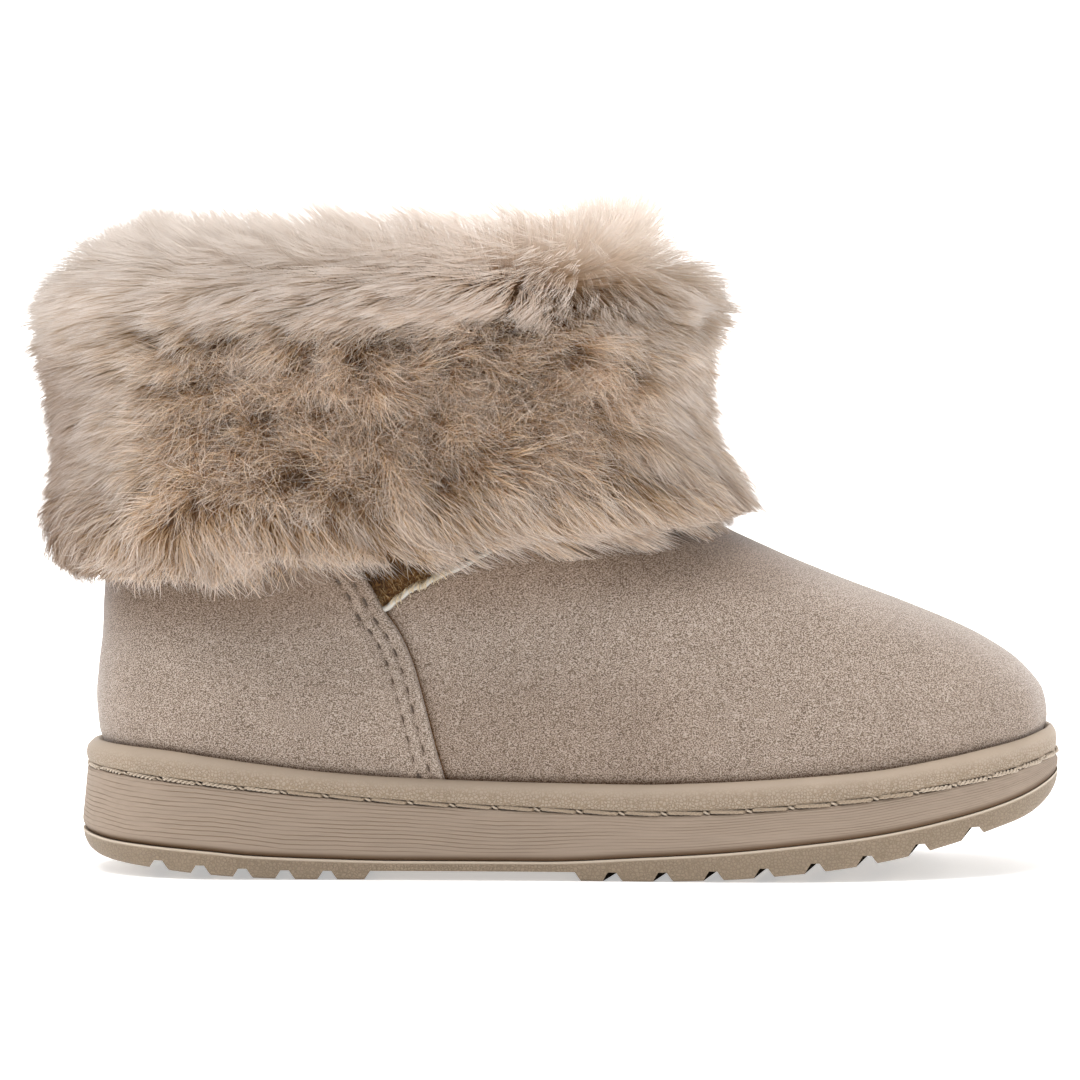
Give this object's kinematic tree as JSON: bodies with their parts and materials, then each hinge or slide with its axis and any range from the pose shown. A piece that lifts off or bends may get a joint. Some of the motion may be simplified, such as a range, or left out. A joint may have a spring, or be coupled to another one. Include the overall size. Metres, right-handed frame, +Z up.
{
  "type": "fur-cuffed ankle boot",
  "caption": "Low pull-on ankle boot of imitation suede with a turned-down cuff of deep imitation fur and a stitched cup sole with a lugged tread.",
  "frame": {"origin": "on the ground, midway along and across the whole boot, from the back of the fur cuff to the toe", "axes": "+X from heel to toe, +Y to the boot's inner (medial) side, +Z up"},
  "size_m": [0.1986, 0.0998, 0.125],
  "materials": {
    "suede": "matt napped imitation suede, taupe",
    "fur": "deep soft imitation fur, darker at the roots and lighter at the tips",
    "rim": "satin moulded rubber with a fine pebble grain",
    "side_wall": "matt moulded foam rubber with fine lengthwise grooves",
    "tread": "matt moulded rubber with a fine pebble grain",
    "footbed": "short woolly lining pile"
  },
  "bodies": {
    "root": {"outsole": "tread", "midsole": "side_wall", "welt": "rim", "insole": "footbed", "upper": "suede", "fur_cuff": "fur"}
  },
  "joints": []
}
